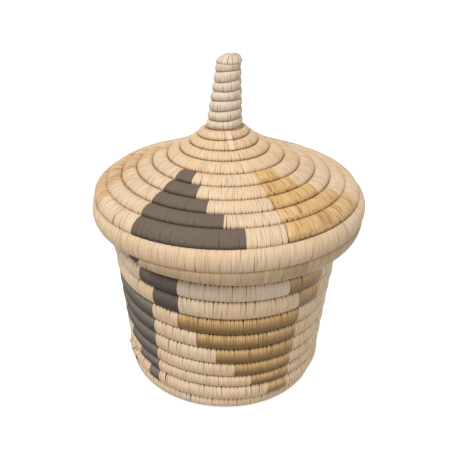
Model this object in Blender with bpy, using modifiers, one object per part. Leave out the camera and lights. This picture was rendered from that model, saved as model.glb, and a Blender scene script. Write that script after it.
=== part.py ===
"""Lidded pot basket of coiled grass wrapped in raffia, with a cap lid and a tall coiled knob.

Both halves are one coil each, wound clockwise as seen from above and followed here by its turn count:
turn 0 lies on the +Y axis at the back, and half a turn later the coil passes the front at -Y.
A round of the coil is bounded by two seams, the one it was laid on and the one the next round is laid on,
and both come from the same function, so neighbours always meet along the same line.
Lengths are in metres and +Z is up. The origin is the centre of the foot.
"""
import math

import bmesh
import bpy
from mathutils import Vector

# Basket, measured at the seams between rounds
COIL_HEIGHT = 0.0099            # one round of the wall with its stitches
WALL_TOP_RADIUS = 0.0633        # where the wall goes under the lid
WALL_TOP_HEIGHT = 0.0888
WALL_FOOT_RADIUS = 0.0551       # the straight wall carried down to the table
RIM_HEIGHT = 0.1105
WALL_DEPTH = 0.0082             # from a seam on the outside to the inside
FOOT_CORNER_RADIUS = 0.0088
KNOT_RADIUS = 0.0054            # the knot that the base is wound round
COIL_BULGE = 0.0012             # how far a round swells past its seams
WALL_ROUND_SHARES = (1.0, 0.99, 0.78, 0.93, 1.04, 1.01, 1.04, 1.16, 1.06, 0.98, 0.98)
UNDER_RIM_SHARES = 10.30        # in such shares, from the first of them up to the level rim
BASE_ROUNDS = 5

# Lid
LID_DEPTH = 0.0078
LID_CLEARANCE = 0.0017          # between the lid's skirt and the rim that it goes round
BRIM_OVERHANG = 0.0014          # the brim's inside stands this far clear of the skirt's
LID_HEIGHT = 0.0582             # from the lower edge of the skirt to the foot of the knob
SEAT_GAP = 0.0006               # straight up, between the lid and the rim that carries it
LID_POLE_SHIFT = 0.0014         # keeps the outer rounds centred as seen from the front
LID_ROUND_SHARES = (0.65, 0.756, 0.813, 1.073, 1.073, 1.124, 1.115, 1.115, 1.339, 1.555, 1.342)
# Seam points of the lid from knob to skirt: shares of its radius and of its height
LID_OUTLINE_SHARES = ((0.135, 1.0), (0.249, 0.869), (0.428, 0.742), (0.761, 0.569), (0.873, 0.510),
                      (0.979, 0.386), (0.987, 0.170), (0.926, 0.0))
UPRIGHT_SHARE = 0.3             # of the lid's outline, over which seams turn from upright to square
TAIL_START_TURN = 11.48         # where the last round begins to thin
TAIL_END_TURN = 11.598          # where it ends, at the left front
TAIL_END_SHARE = 0.62

# Knob
KNOB_HEIGHT = 0.0378            # above its foot on the lid
KNOB_FOOT_RADIUS = 0.0096
KNOB_TOP_RADIUS = 0.0062
KNOB_SHIFT = -0.0017            # its foot stands left of the middle
KNOB_LEAN = math.radians(3.2)   # towards the right
KNOB_TURNS = 9.09               # from inside the lid to its top
KNOB_CORE_RADIUS = 0.0024
KNOB_GROOVE = 0.0007

# Gaps
ROUND_GAP = 0.0003              # between neighbouring pieces
LOOP_GAP = 0.0005               # between loops of the same piece

STEPS_PER_TURN = 24
KNOB_STEPS_PER_TURN = 10
KNOB_CORE_RESOLUTION = 2
CORNER_STEPS = 12
CURVE_STEPS = 8
SAMPLE_MARGIN_SHARE = 0.1       # of a step, kept free of samples beside the two ends of a piece
SHARP_ANGLE = math.radians(50)
FRONT_TURN = 0.5                # from the back of the coil to its front, where seams are measured
TANGENT_SHARE = 0.15            # of a coil's height, half the stretch that a direction is read over
BULGE_SHARES = (0.24, 0.76)     # places across a round where it stands proudest
START_TAPER_TURNS = 0.25        # a coil starts once it has grown this share of a turn
SKIRT_SHARE = 0.45              # upward part of a seam's normal, under which it belongs to the skirt
TURN = 2 * math.pi

# Wraps: name, colour, roughness
WRAPS = {
    "natural_raffia": ((0.78, 0.60, 0.38, 1), 0.62),
    "charcoal_raffia": ((0.135, 0.115, 0.10, 1), 0.8),
    "tan_straw": ((0.62, 0.41, 0.17, 1), 0.5),
}
WRAP_ORDER = list(WRAPS)
CHARCOAL = WRAP_ORDER.index("charcoal_raffia")
TAN = WRAP_ORDER.index("tan_straw")

# Stepped motifs: wrap, first and last round, the edge that stays put and the edge that steps, in degrees
# from the front towards the right, the step from one round to the next and the drift of the first edge
LID_MOTIFS = ((CHARCOAL, 5, 9, -42.3, -28.0, 8.7, 0.85), (TAN, 5, 9, 23.0, 41.5, 7.0, 0.0),
              (CHARCOAL, 5, 9, 129.0, 144.0, 8.5, 0.0), (TAN, 5, 9, -115.0, -98.5, 8.1, 0.0))
WALL_MOTIFS = ((TAN, 1, 6, 38.3, 25.2, -9.7, 0.35), (CHARCOAL, 1, 6, -39.0, -47.0, -8.4, 0.25),
               (CHARCOAL, 1, 6, 147.0, 133.5, -9.7, 0.0), (TAN, 1, 6, 243.5, 230.0, -9.7, 0.0),
               (TAN, 7, 10, 53.5, 39.2, -7.6, 0.0), (CHARCOAL, 7, 10, -21.7, -35.8, -7.4, 0.0),
               (CHARCOAL, 7, 10, 161.0, 146.7, -7.6, 0.0), (TAN, 7, 10, 257.5, 243.2, -7.6, 0.0))


def clear_scene():
    for item in list(bpy.context.scene.objects):
        bpy.data.objects.remove(item)


def wrap_materials():
    made = []
    for name, (colour, roughness) in WRAPS.items():
        material = bpy.data.materials.new(name)
        material.use_nodes = True
        shader = material.node_tree.nodes["Principled BSDF"]
        shader.inputs["Base Color"].default_value = colour
        shader.inputs["Roughness"].default_value = roughness
        shader.inputs["Metallic"].default_value = 0
        made.append(material)
    return made


class Outline:
    """A curve of (radius, height) points that the seams of a coil lie on, read by its length."""

    def __init__(self, points, side):
        self.points = [Vector(point) for point in points]
        self.side = side
        self.lengths = [0.0]
        for before, after in zip(self.points, self.points[1:]):
            self.lengths.append(self.lengths[-1] + (after - before).length)

    def at(self, length):
        last = len(self.points) - 2
        index = 0
        while index < last and self.lengths[index + 1] < length:
            index += 1
        span = self.lengths[index + 1] - self.lengths[index]
        return self.points[index].lerp(self.points[index + 1], (length - self.lengths[index]) / span)

    def direction(self, length):
        reach = COIL_HEIGHT * TANGENT_SHARE
        return (self.at(length + reach) - self.at(length - reach)).normalized()

    def outward(self, length):
        along = self.direction(length)
        return Vector((-along.y, along.x)) * self.side

    def length_at_height(self, height):
        for index, (before, after) in enumerate(zip(self.points, self.points[1:])):
            if before.y < height <= after.y:
                share = (height - before.y) / (after.y - before.y)
                return self.lengths[index] + share * (after - before).length
        return self.lengths[-1]


def basket_outline():
    """Flat base, round corner, straight wall, and an upright stretch inside the lid."""
    slope = Vector((WALL_TOP_RADIUS - WALL_FOOT_RADIUS, WALL_TOP_HEIGHT))
    angle = math.atan2(slope.y, slope.x)
    foot = WALL_FOOT_RADIUS + slope.x * COIL_BULGE / slope.y
    centre = Vector((foot - FOOT_CORNER_RADIUS * math.tan(angle / 2), COIL_BULGE + FOOT_CORNER_RADIUS))
    points = [(0.0, COIL_BULGE)]
    for step in range(CORNER_STEPS + 1):
        turned = angle * step / CORNER_STEPS
        points.append((centre.x + FOOT_CORNER_RADIUS * math.sin(turned),
                       centre.y - FOOT_CORNER_RADIUS * math.cos(turned)))
    points.append((WALL_TOP_RADIUS, WALL_TOP_HEIGHT))
    points.append((WALL_TOP_RADIUS, RIM_HEIGHT + COIL_HEIGHT))
    return Outline(points, -1)


def smooth_through(points):
    """Catmull-Rom curve through the points, with straight ends."""
    points = [Vector(point) for point in points]
    padded = [2 * points[0] - points[1]] + points + [2 * points[-1] - points[-2]]
    curve = []
    for a, b, c, d in zip(padded, padded[1:], padded[2:], padded[3:]):
        for step in range(CURVE_STEPS):
            t = step / CURVE_STEPS
            curve.append(0.5 * (2 * b + (c - a) * t + (2 * a - 5 * b + 4 * c - d) * t ** 2
                                + (3 * b - 3 * c + d - a) * t ** 3))
    return curve + [points[-1]]


def skirt_inner_radius():
    return WALL_TOP_RADIUS + COIL_BULGE + LID_CLEARANCE


def lid_outline():
    radius = skirt_inner_radius() + BRIM_OVERHANG + LID_DEPTH
    return Outline(smooth_through([(a * radius, b * LID_HEIGHT) for a, b in LID_OUTLINE_SHARES]), 1)


def read_knots(knots, turn):
    """Piecewise straight reading of (turn, length) pairs, carried on past both ends."""
    index = 0
    while index < len(knots) - 2 and knots[index + 1][0] < turn:
        index += 1
    (turn_a, length_a), (turn_b, length_b) = knots[index], knots[index + 1]
    return length_a + (length_b - length_a) * (turn - turn_a) / (turn_b - turn_a)


class BasketCoil:
    """The coil of the basket: a flat spiral from the knot outwards, then up the wall to a level rim."""

    def __init__(self):
        self.outline = basket_outline()
        self.start = 1 + START_TAPER_TURNS
        self.rim = self.outline.length_at_height(RIM_HEIGHT)
        self.knots = [(1.0, KNOT_RADIUS)]
        front = BASE_ROUNDS + 1 + FRONT_TURN
        length = KNOT_RADIUS + (front - 1) * COIL_HEIGHT
        self.knots.append((front, length))
        wall_height = (self.rim - length) / UNDER_RIM_SHARES
        for share in WALL_ROUND_SHARES[1:]:
            front += 1
            length += share * wall_height
            self.knots.append((front, length))

    def seam_length(self, turn):
        if turn < self.start:
            return KNOT_RADIUS
        return min(read_knots(self.knots, turn), self.rim)

    def seam(self, length):
        return self.outline.at(length), -self.outline.outward(length) * WALL_DEPTH

    def pole(self, length):
        return 0.0

    def top_length(self, turn):
        return self.seam_length(turn)

    def end(self):
        """The turn at which the wedge under the level rim has thinned to its end."""
        turn = self.knots[-1][0]
        while self.rim - self.seam_length(turn - 1) > COIL_BULGE:
            turn += 1 / STEPS_PER_TURN
        return turn


class LidCoil:
    """The coil of the lid: down the cone, round the brim and under it, to a thin tail."""

    def __init__(self):
        self.outline = lid_outline()
        total = self.outline.lengths[-1]
        self.level = 0.0
        self.knots = [(FRONT_TURN, 0.0)]
        for index in range(len(LID_ROUND_SHARES)):
            covered = sum(LID_ROUND_SHARES[:index + 1]) / sum(LID_ROUND_SHARES)
            self.knots.append((index + 1 + FRONT_TURN, total * covered))

    def seam_length(self, turn):
        return max(read_knots(self.knots, turn), 0.0)

    def seam(self, length):
        outer = self.outline.at(length)
        outward = self.outline.outward(length)
        depth = LID_DEPTH
        if outward.y < SKIRT_SHARE:
            depth = min(depth, (outer.x - skirt_inner_radius()) / outward.x)
        upright = Vector((0.0, -1.0))
        turned = min(length / (UPRIGHT_SHARE * self.outline.lengths[-1]), 1.0)
        inward = upright.lerp(-outward, turned).normalized() * depth
        return outer + Vector((0.0, self.level)), inward

    def pole(self, length):
        turned = min(length / (UPRIGHT_SHARE * self.outline.lengths[-1]), 1.0)
        return KNOB_SHIFT + (LID_POLE_SHIFT - KNOB_SHIFT) * turned

    def top_length(self, turn):
        below = self.seam_length(turn - 1)
        above = self.seam_length(turn)
        if turn <= TAIL_START_TURN:
            return above
        thinned = (turn - TAIL_START_TURN) / (TAIL_END_TURN - TAIL_START_TURN)
        return below + (above - below) * (1 - (1 - TAIL_END_SHARE) * thinned)


def section(coil, turn, gap):
    """The six corners of the coil at a turn: (pole, radius, height) from seam to seam, outside first."""
    low = coil.seam_length(turn - 1)
    high = coil.top_length(turn)
    corners = []
    for length, push in ((low, gap / 2), (high, -gap / 2)):
        outer, inward = coil.seam(length)
        shift = Vector((-inward.y, inward.x)).normalized() * push * coil.outline.side
        corners.append((coil.pole(length), outer + shift))
        corners.append((coil.pole(length), outer + inward + shift))
    bulges = []
    for share in BULGE_SHARES:
        length = low + (high - low) * share
        outer, _ = coil.seam(length)
        bulges.append((coil.pole(length), outer + coil.outline.outward(length) * COIL_BULGE))
    low_outer, low_inner, high_outer, high_inner = corners
    return [low_outer, bulges[0], bulges[1], high_outer, high_inner, low_inner]


def place(pole, point, turn):
    angle = TURN * turn
    return Vector((pole + point.x * math.sin(angle), point.x * math.cos(angle), point.y))


def turn_samples(start, end, steps):
    """The two ends, and every whole step of a turn between them."""
    first = math.floor(start * steps) + 1
    last = math.ceil(end * steps) - 1
    inner = [step / steps for step in range(first, last + 1)]
    margin = SAMPLE_MARGIN_SHARE / steps
    return [start] + [turn for turn in inner if start + margin < turn < end - margin] + [end]


def loft(name, rings, collection):
    """A closed tube through rings of as many points each, capped at both ends."""
    shape = bmesh.new()
    made = [[shape.verts.new(point) for point in ring] for ring in rings]
    sides = len(rings[0])
    for before, after in zip(made, made[1:]):
        for side in range(sides):
            beside = (side + 1) % sides
            shape.faces.new((before[side], before[beside], after[beside], after[side]))
    shape.faces.new(list(reversed(made[0])))
    shape.faces.new(made[-1])
    bmesh.ops.recalc_face_normals(shape, faces=shape.faces)
    mesh = bpy.data.meshes.new(name)
    shape.to_mesh(mesh)
    shape.free()
    mesh.shade_smooth()
    mesh.set_sharp_from_angle(angle=SHARP_ANGLE)
    item = bpy.data.objects.new(name, mesh)
    collection.objects.link(item)
    return item


def wrap_at(motifs, round_number, degrees):
    for wrap, first, last, fixed, stepping, step, drift in motifs:
        if first <= round_number <= last:
            edge = stepping + (round_number - first) * step
            held = fixed + (round_number - first) * drift
            low, high = min(held, edge), max(held, edge)
            if low + (degrees - low) % 360 <= high:
                return wrap
    return 0


def coil_piece(name, coil, start, end, gap, collection, materials, motifs=(), round_number=0):
    """One stretch of a coil as a closed tube, its faces given the wrap that the motifs put there."""
    outer, _ = coil.seam(coil.top_length(start))
    trim = ROUND_GAP / 2 / (TURN * outer.x)
    turns = turn_samples(start + trim, end - trim, STEPS_PER_TURN)
    rings = [[place(pole, point, turn) for pole, point in section(coil, turn, gap)] for turn in turns]
    item = loft(name, rings, collection)
    for material in materials:
        item.data.materials.append(material)
    if motifs:
        for face in item.data.polygons:
            degrees = math.degrees(math.atan2(face.center.x, -face.center.y))
            face.material_index = wrap_at(motifs, round_number, degrees)
    return rings


def seat_level(lid):
    """How high the lid's lower edge stands when its inside rests on the rim."""
    thinnest = COIL_BULGE       # of the wedge under the level rim, where its swell stands highest
    rim_points = (Vector((WALL_TOP_RADIUS, RIM_HEIGHT)),
                  Vector((WALL_TOP_RADIUS + COIL_BULGE, RIM_HEIGHT - BULGE_SHARES[0] * thinnest)))
    level = 0.0
    for step in range(STEPS_PER_TURN * len(LID_ROUND_SHARES) - STEPS_PER_TURN):
        turn = 1 + step / STEPS_PER_TURN
        ends = []
        for length in (lid.seam_length(turn - 1), lid.seam_length(turn)):
            outer, inward = lid.seam(length)
            inner = outer + inward
            ends.append(Vector((inner.x + lid.pole(length) * math.sin(TURN * turn), inner.y)))
        near, far = ends
        for rim in rim_points:
            if near.x <= rim.x and far.x > near.x:
                share = min((rim.x - near.x) / (far.x - near.x), 1.0)
                if share < 1.0 or rim.x - far.x < COIL_BULGE:
                    level = max(level, rim.y + SEAT_GAP - near.lerp(far, share).y)
    return level


def base_knot(collection, material):
    radius = KNOT_RADIUS - ROUND_GAP
    height = COIL_BULGE + WALL_DEPTH
    shape = bmesh.new()
    bmesh.ops.create_cone(shape, cap_ends=True, segments=STEPS_PER_TURN, radius1=radius, radius2=radius,
                          depth=height)
    mesh = bpy.data.meshes.new("base_knot")
    shape.to_mesh(mesh)
    shape.free()
    item = bpy.data.objects.new("base_knot", mesh)
    item.location = (0, 0, height / 2)
    bevel = item.modifiers.new("soft_edge", 'BEVEL')
    bevel.width = COIL_BULGE / 2
    bevel.segments = 1
    mesh.materials.append(material)
    collection.objects.link(item)


def knob_axis(height, foot):
    return KNOB_SHIFT + (height - foot) * math.tan(KNOB_LEAN)


def knob_radius(height, foot):
    share = min(max((height - foot) / KNOB_HEIGHT, 0.0), 1.0)
    return KNOB_FOOT_RADIUS + (KNOB_TOP_RADIUS - KNOB_FOOT_RADIUS) * share


def knob_coil(lid, collection, material):
    """A narrow coil wound round its own core, between the level top of the knob and the inside of the lid.

    Its turns are counted upwards, so they run against those of the lid, whose coil goes on from its foot.
    """
    foot = lid.seam(0.0)[0].y
    low = foot - LID_DEPTH
    high = foot + KNOB_HEIGHT
    pitch = (high - low) / KNOB_TURNS

    def seam_height(turn):
        return min(max(low + turn * pitch, low), high)

    inner = KNOB_CORE_RADIUS + ROUND_GAP
    rings = []
    end = KNOB_TURNS + 1 - START_TAPER_TURNS
    for turn in turn_samples(START_TAPER_TURNS, end, KNOB_STEPS_PER_TURN):
        below = seam_height(turn - 1) + LOOP_GAP / 2
        above = seam_height(turn) - LOOP_GAP / 2
        middle = (below + above) / 2
        ring = []
        for radius_cut, height in ((KNOB_GROOVE, below), (0.0, middle), (KNOB_GROOVE, above)):
            point = Vector((knob_radius(height, foot) - radius_cut, height))
            ring.append(place(knob_axis(height, foot), point, -turn))
        for height in (above, below):
            ring.append(place(knob_axis(height, foot), Vector((inner, height)), -turn))
        rings.append(ring)
    item = loft("knob_coil", rings, collection)
    item.data.materials.append(material)
    return rings


def knob_core(lid, collection, material):
    foot = lid.seam(0.0)[0].y
    curve = bpy.data.curves.new("knob_core", 'CURVE')
    curve.dimensions = '3D'
    curve.bevel_depth = KNOB_CORE_RADIUS
    curve.bevel_resolution = KNOB_CORE_RESOLUTION
    curve.use_fill_caps = True
    spline = curve.splines.new('POLY')
    spline.points.add(1)
    for point, height in zip(spline.points, (foot - LID_DEPTH, foot + KNOB_HEIGHT)):
        point.co = (knob_axis(height, foot), 0, height, 1)
    item = bpy.data.objects.new("knob_core", curve)
    curve.materials.append(material)
    collection.objects.link(item)


def least_loop_gap(rings, steps):
    """Least distance between loops of one piece, measured between the corners of rings a turn apart."""
    least = COIL_HEIGHT
    for before, after in zip(rings, rings[steps:]):
        least = min([least] + [(a - b).length for a in before for b in after])
    return least


def build():
    clear_scene()
    collection = bpy.data.collections.new("lidded_pot_basket")
    bpy.context.scene.collection.children.link(collection)
    materials = wrap_materials()
    natural = materials[0]

    basket = BasketCoil()
    base_knot(collection, natural)
    wall_start = BASE_ROUNDS + 1
    base_rings = coil_piece("base_coil", basket, basket.start, wall_start, LOOP_GAP, collection, [natural])
    rounds = len(WALL_ROUND_SHARES)
    for number in range(1, rounds + 1):
        start = wall_start + number - 1
        coil_piece(f"wall_round_{number:02d}", basket, start, start + 1, ROUND_GAP, collection,
                   materials, WALL_MOTIFS, number - 1)
    coil_piece("rim_end", basket, wall_start + rounds, basket.end(), ROUND_GAP, collection, [natural])

    lid = LidCoil()
    lid.level = seat_level(lid)
    cone_rounds = len(LID_ROUND_SHARES) - 2
    for number in range(1, cone_rounds + 1):
        coil_piece(f"lid_round_{number:02d}", lid, number, number + 1, ROUND_GAP, collection,
                   materials, LID_MOTIFS, number)
    brim = cone_rounds + 1
    coil_piece("brim_coil", lid, brim, brim + 1, ROUND_GAP, collection, [natural])
    coil_piece("under_coil", lid, brim + 1, TAIL_END_TURN, ROUND_GAP, collection, [natural])
    knob_rings = knob_coil(lid, collection, natural)
    knob_core(lid, collection, natural)
    print("lid seated at", round(lid.level, 5))
    print("least gap between loops of the base", round(least_loop_gap(base_rings, STEPS_PER_TURN), 5),
          "and of the knob", round(least_loop_gap(knob_rings, KNOB_STEPS_PER_TURN), 5))


build()
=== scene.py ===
# Lidded pot basket: two coils of dry grass, wrapped and stitched with raffia, straw and dyed raffia.
# Lengths are in metres.
import math
import random

import bmesh
import bpy
from mathutils import Matrix, Vector


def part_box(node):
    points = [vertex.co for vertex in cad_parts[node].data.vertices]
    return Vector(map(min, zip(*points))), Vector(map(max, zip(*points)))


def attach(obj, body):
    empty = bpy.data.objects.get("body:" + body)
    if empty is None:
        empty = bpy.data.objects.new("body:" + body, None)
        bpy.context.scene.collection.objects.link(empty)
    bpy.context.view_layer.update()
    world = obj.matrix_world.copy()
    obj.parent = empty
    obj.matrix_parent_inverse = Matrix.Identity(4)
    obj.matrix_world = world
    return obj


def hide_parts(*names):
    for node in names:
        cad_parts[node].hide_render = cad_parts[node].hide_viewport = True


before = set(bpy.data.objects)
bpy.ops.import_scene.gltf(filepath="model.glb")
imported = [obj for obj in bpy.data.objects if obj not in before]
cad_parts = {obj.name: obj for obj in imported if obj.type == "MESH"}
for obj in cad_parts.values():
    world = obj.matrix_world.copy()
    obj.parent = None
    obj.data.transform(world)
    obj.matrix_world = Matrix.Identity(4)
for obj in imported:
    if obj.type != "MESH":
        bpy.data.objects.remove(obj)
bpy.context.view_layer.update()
fullTurn = 2 * math.pi
frontTurn = 0.5         # from the back of a coil to its front
millimetres = 1000      # in a metre
print("frame loaded")

# The two coils, as they were wound. A turn is counted from the back, clockwise as seen from above.
basketValues = {
    "pitch": 0.0099,            # one round with its stitches
    "topRadius": 0.0633, "topHeight": 0.0888, "footRadius": 0.0551, "rimHeight": 0.1105,
    "depth": 0.0082,            # from the outside of the coil to its inside
    "bulge": 0.0012,            # how far a round stands out between its seams
    "cornerRadius": 0.0088, "cornerSteps": 12, "knotRadius": 0.0054,
    "baseRounds": 5, "underRimShares": 10.30,
    "roundShares": (1.0, 0.99, 0.78, 0.93, 1.04, 1.01, 1.04, 1.16, 1.06, 0.98, 0.98),
    "startTaper": 0.25,         # turns over which the coil comes out from under its knot
    "readShare": 0.15, "stepsPerTurn": 24,
}
lidValues = {
    "depth": 0.0078, "clearance": 0.0017, "overhang": 0.0014, "height": 0.0582, "poleShift": 0.0014,
    # the cone's rounds, then the brim and the turn under it
    "roundShares": (0.65, 0.756, 0.813, 1.073, 1.073, 1.124, 1.115, 1.115, 1.339, 1.555, 1.342),
    "outlineShares": ((0.135, 1.0), (0.249, 0.869), (0.428, 0.742), (0.761, 0.569), (0.873, 0.510),
                      (0.979, 0.386), (0.987, 0.170), (0.926, 0.0)),
    "uprightShare": 0.3, "skirtShare": 0.45, "curveSteps": 8,
    "tailStart": 11.48, "tailEnd": 11.598, "tailEndShare": 0.62,
}
knobValues = {
    "height": 0.0378, "footRadius": 0.0096, "topRadius": 0.0062, "shift": -0.0017,
    "lean": math.radians(3.2), "turns": 9.09, "coreRadius": 0.0024, "groove": 0.0006, "strand": 0.0013,
    "firstTurn": 1.0, "lastTurn": 9.0, "wobble": 0.00022, "wobblesPerTurn": 2.3,
    "slowShare": 0.6, "slowPerTurn": 0.71, "slowStart": 1.0,      # a second, slower wobble
    "capRadius": 0.0069, "capDrop": 0.0036, "capRise": 0.0014, "capRiseTilt": 0.0006, "capShift": 0.0006,
    "capStrands": 34, "crownShare": 0.25, "coreSides": 12,
}


def runningLengths(points):
    lengths = [0.0]
    for before, after in zip(points, points[1:]):
        lengths.append(lengths[-1] + (after - before).length)
    return lengths


def stretchAt(lengths, length):
    # the stretch between two points that a length falls in, and how far along it
    index = 0
    while index < len(lengths) - 2 and lengths[index + 1] < length:
        index += 1
    return index, (length - lengths[index]) / (lengths[index + 1] - lengths[index])


def outlineOf(points, side):
    points = [Vector(point) for point in points]
    return {"points": points, "lengths": runningLengths(points), "side": side}


def outlineAt(outline, length):
    points = outline["points"]
    index, share = stretchAt(outline["lengths"], length)
    return points[index].lerp(points[index + 1], share)


def outwardAt(outline, length):
    reach = basketValues["pitch"] * basketValues["readShare"]
    along = (outlineAt(outline, length + reach) - outlineAt(outline, length - reach)).normalized()
    return Vector((-along.y, along.x)) * outline["side"]


def lengthAtHeight(outline, height):
    points, lengths = outline["points"], outline["lengths"]
    for index, (before, after) in enumerate(zip(points, points[1:])):
        if before.y < height <= after.y:
            return lengths[index] + (height - before.y) / (after.y - before.y) * (after - before).length
    return lengths[-1]


def readKnots(knots, turn):
    index = 0
    while index < len(knots) - 2 and knots[index + 1][0] < turn:
        index += 1
    (turnA, lengthA), (turnB, lengthB) = knots[index], knots[index + 1]
    return lengthA + (lengthB - lengthA) * (turn - turnA) / (turnB - turnA)


def basketOutline():
    v = basketValues
    slope = Vector((v["topRadius"] - v["footRadius"], v["topHeight"]))
    angle = math.atan2(slope.y, slope.x)
    foot = v["footRadius"] + slope.x * v["bulge"] / slope.y
    corner = v["cornerRadius"]
    centre = Vector((foot - corner * math.tan(angle / 2), v["bulge"] + corner))
    points = [(0.0, v["bulge"])]
    for step in range(v["cornerSteps"] + 1):
        turned = angle * step / v["cornerSteps"]
        points.append((centre.x + corner * math.sin(turned), centre.y - corner * math.cos(turned)))
    points.append((v["topRadius"], v["topHeight"]))
    points.append((v["topRadius"], v["rimHeight"] + v["pitch"]))
    return outlineOf(points, -1)


def smoothThrough(points, steps):
    points = [Vector(point) for point in points]
    padded = [2 * points[0] - points[1]] + points + [2 * points[-1] - points[-2]]
    curve = []
    for a, b, c, d in zip(padded, padded[1:], padded[2:], padded[3:]):
        for step in range(steps):
            t = step / steps
            curve.append(0.5 * (2 * b + (c - a) * t + (2 * a - 5 * b + 4 * c - d) * t ** 2
                                + (3 * b - 3 * c + d - a) * t ** 3))
    return curve + [points[-1]]


def makeBasketCoil():
    v = basketValues
    outline = basketOutline()
    rim = lengthAtHeight(outline, v["rimHeight"])
    front = v["baseRounds"] + 1 + frontTurn
    length = v["knotRadius"] + (front - 1) * v["pitch"]
    knots = [(1.0, v["knotRadius"]), (front, length)]
    wallPitch = (rim - length) / v["underRimShares"]
    for share in v["roundShares"][1:]:
        front += 1
        length += share * wallPitch
        knots.append((front, length))

    def seamLength(turn):
        if turn < 1 + v["startTaper"]:
            return v["knotRadius"]
        return min(readKnots(knots, turn), rim)

    def seam(length):
        return outlineAt(outline, length), -outwardAt(outline, length) * v["depth"]

    end = knots[-1][0]
    while rim - seamLength(end - 1) > v["bulge"]:
        end += 1 / v["stepsPerTurn"]
    return {"seamLength": seamLength, "farLength": seamLength, "seam": seam, "pole": lambda length: 0.0,
            "end": end}


def makeLidCoil():
    v = lidValues
    skirtRadius = basketValues["topRadius"] + basketValues["bulge"] + v["clearance"]
    radius = skirtRadius + v["overhang"] + v["depth"]
    shares = [(a * radius, b * v["height"]) for a, b in v["outlineShares"]]
    outline = outlineOf(smoothThrough(shares, v["curveSteps"]), 1)
    total = outline["lengths"][-1]
    knots = [(frontTurn, 0.0)]
    for index in range(len(v["roundShares"])):
        covered = sum(v["roundShares"][:index + 1]) / sum(v["roundShares"])
        knots.append((index + 1 + frontTurn, total * covered))
    leaning = knobValues["coreRadius"] * math.sin(knobValues["lean"])
    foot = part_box("knob_core")[1].z - knobValues["height"] - leaning
    level = foot - v["height"]

    def seamLength(turn):
        return max(readKnots(knots, turn), 0.0)

    def farLength(turn):
        near, far = seamLength(turn - 1), seamLength(turn)
        if turn <= v["tailStart"]:
            return far
        thinned = min((turn - v["tailStart"]) / (v["tailEnd"] - v["tailStart"]), 1.0)
        return near + (far - near) * (1 - (1 - v["tailEndShare"]) * thinned)

    def turned(length):
        return min(length / (v["uprightShare"] * total), 1.0)

    def seam(length):
        outer = outlineAt(outline, length)
        outward = outwardAt(outline, length)
        depth = v["depth"]
        if outward.y < v["skirtShare"]:
            depth = min(depth, (outer.x - skirtRadius) / outward.x)
        inward = Vector((0.0, -1.0)).lerp(-outward, turned(length)).normalized() * depth
        return outer + Vector((0.0, level)), inward

    def pole(length):
        return knobValues["shift"] + (v["poleShift"] - knobValues["shift"]) * turned(length)

    return {"seamLength": seamLength, "farLength": farLength, "seam": seam, "pole": pole, "foot": foot}


def placed(pole, point, turn):
    angle = fullTurn * turn
    return Vector((pole + point.x * math.sin(angle), point.x * math.cos(angle), point.y))


# A station is one place along a coil: its near seam, the way across to the far one, the way out, and how
# far the surface rises over the straight line between the seams.
def stationFrom(nearPoint, farPoint, innerPoint, rise=0.0):
    across = farPoint - nearPoint
    inward = innerPoint - (nearPoint + farPoint) / 2
    inward -= across * (inward.dot(across) / across.length_squared)
    spread = math.hypot(farPoint.x, farPoint.y) - math.hypot(nearPoint.x, nearPoint.y)
    middle = (nearPoint + farPoint) / 2
    return {"near": nearPoint, "across": across, "outward": -inward.normalized(), "depth": inward.length,
            "middle": middle, "taper": spread / max(math.hypot(middle.x, middle.y), basketValues["bulge"]),
            "rise": rise}


def coilStation(coil, turn):
    near, far = coil["seamLength"](turn - 1), coil["farLength"](turn)
    (nearOuter, nearInward), (farOuter, farInward) = coil["seam"](near), coil["seam"](far)
    nearPoint = placed(coil["pole"](near), nearOuter, turn)
    farPoint = placed(coil["pole"](far), farOuter, turn)
    nearInner = placed(coil["pole"](near), nearOuter + nearInward, turn)
    farInner = placed(coil["pole"](far), farOuter + farInward, turn)
    station = stationFrom(nearPoint, farPoint, (nearInner + farInner) / 2)
    between = (near + far) / 2
    crest = placed(coil["pole"](between), coil["seam"](between)[0], turn)
    station["rise"] = (crest - station["middle"]).dot(station["outward"])
    return station


basketCoil = makeBasketCoil()
lidCoil = makeLidCoil()
knobFoot = lidCoil["foot"]
knobTop = knobFoot + knobValues["height"]
print("coils wound, lid foot at", round(knobFoot, 4))


def knobAxis(height):
    return knobValues["shift"] + (height - knobFoot) * math.tan(knobValues["lean"])


def knobRadius(height):
    v = knobValues
    share = min(max((height - knobFoot) / v["height"], 0.0), 1.0)
    return v["footRadius"] + (v["topRadius"] - v["footRadius"]) * share


def knobSeam(turn):
    # no two stitches pull alike, so the seams between the rows waver a little
    v = knobValues
    low = knobFoot - lidValues["depth"]
    wave = math.sin(fullTurn * v["wobblesPerTurn"] * turn)
    wave += v["slowShare"] * math.sin(fullTurn * v["slowPerTurn"] * turn + v["slowStart"])
    height = low + turn * (knobTop - low) / v["turns"] + v["wobble"] * wave
    return min(max(height, low), knobTop)


def knobStation(turn):
    v = knobValues
    below = knobSeam(turn - 1)
    above = knobSeam(turn)

    def at(height, radius):
        return placed(knobAxis(height), Vector((radius, height)), -turn)

    middle = (below + above) / 2
    return stationFrom(at(above, knobRadius(above) - v["groove"]), at(below, knobRadius(below) - v["groove"]),
                       at(middle, v["coreRadius"]))


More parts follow.
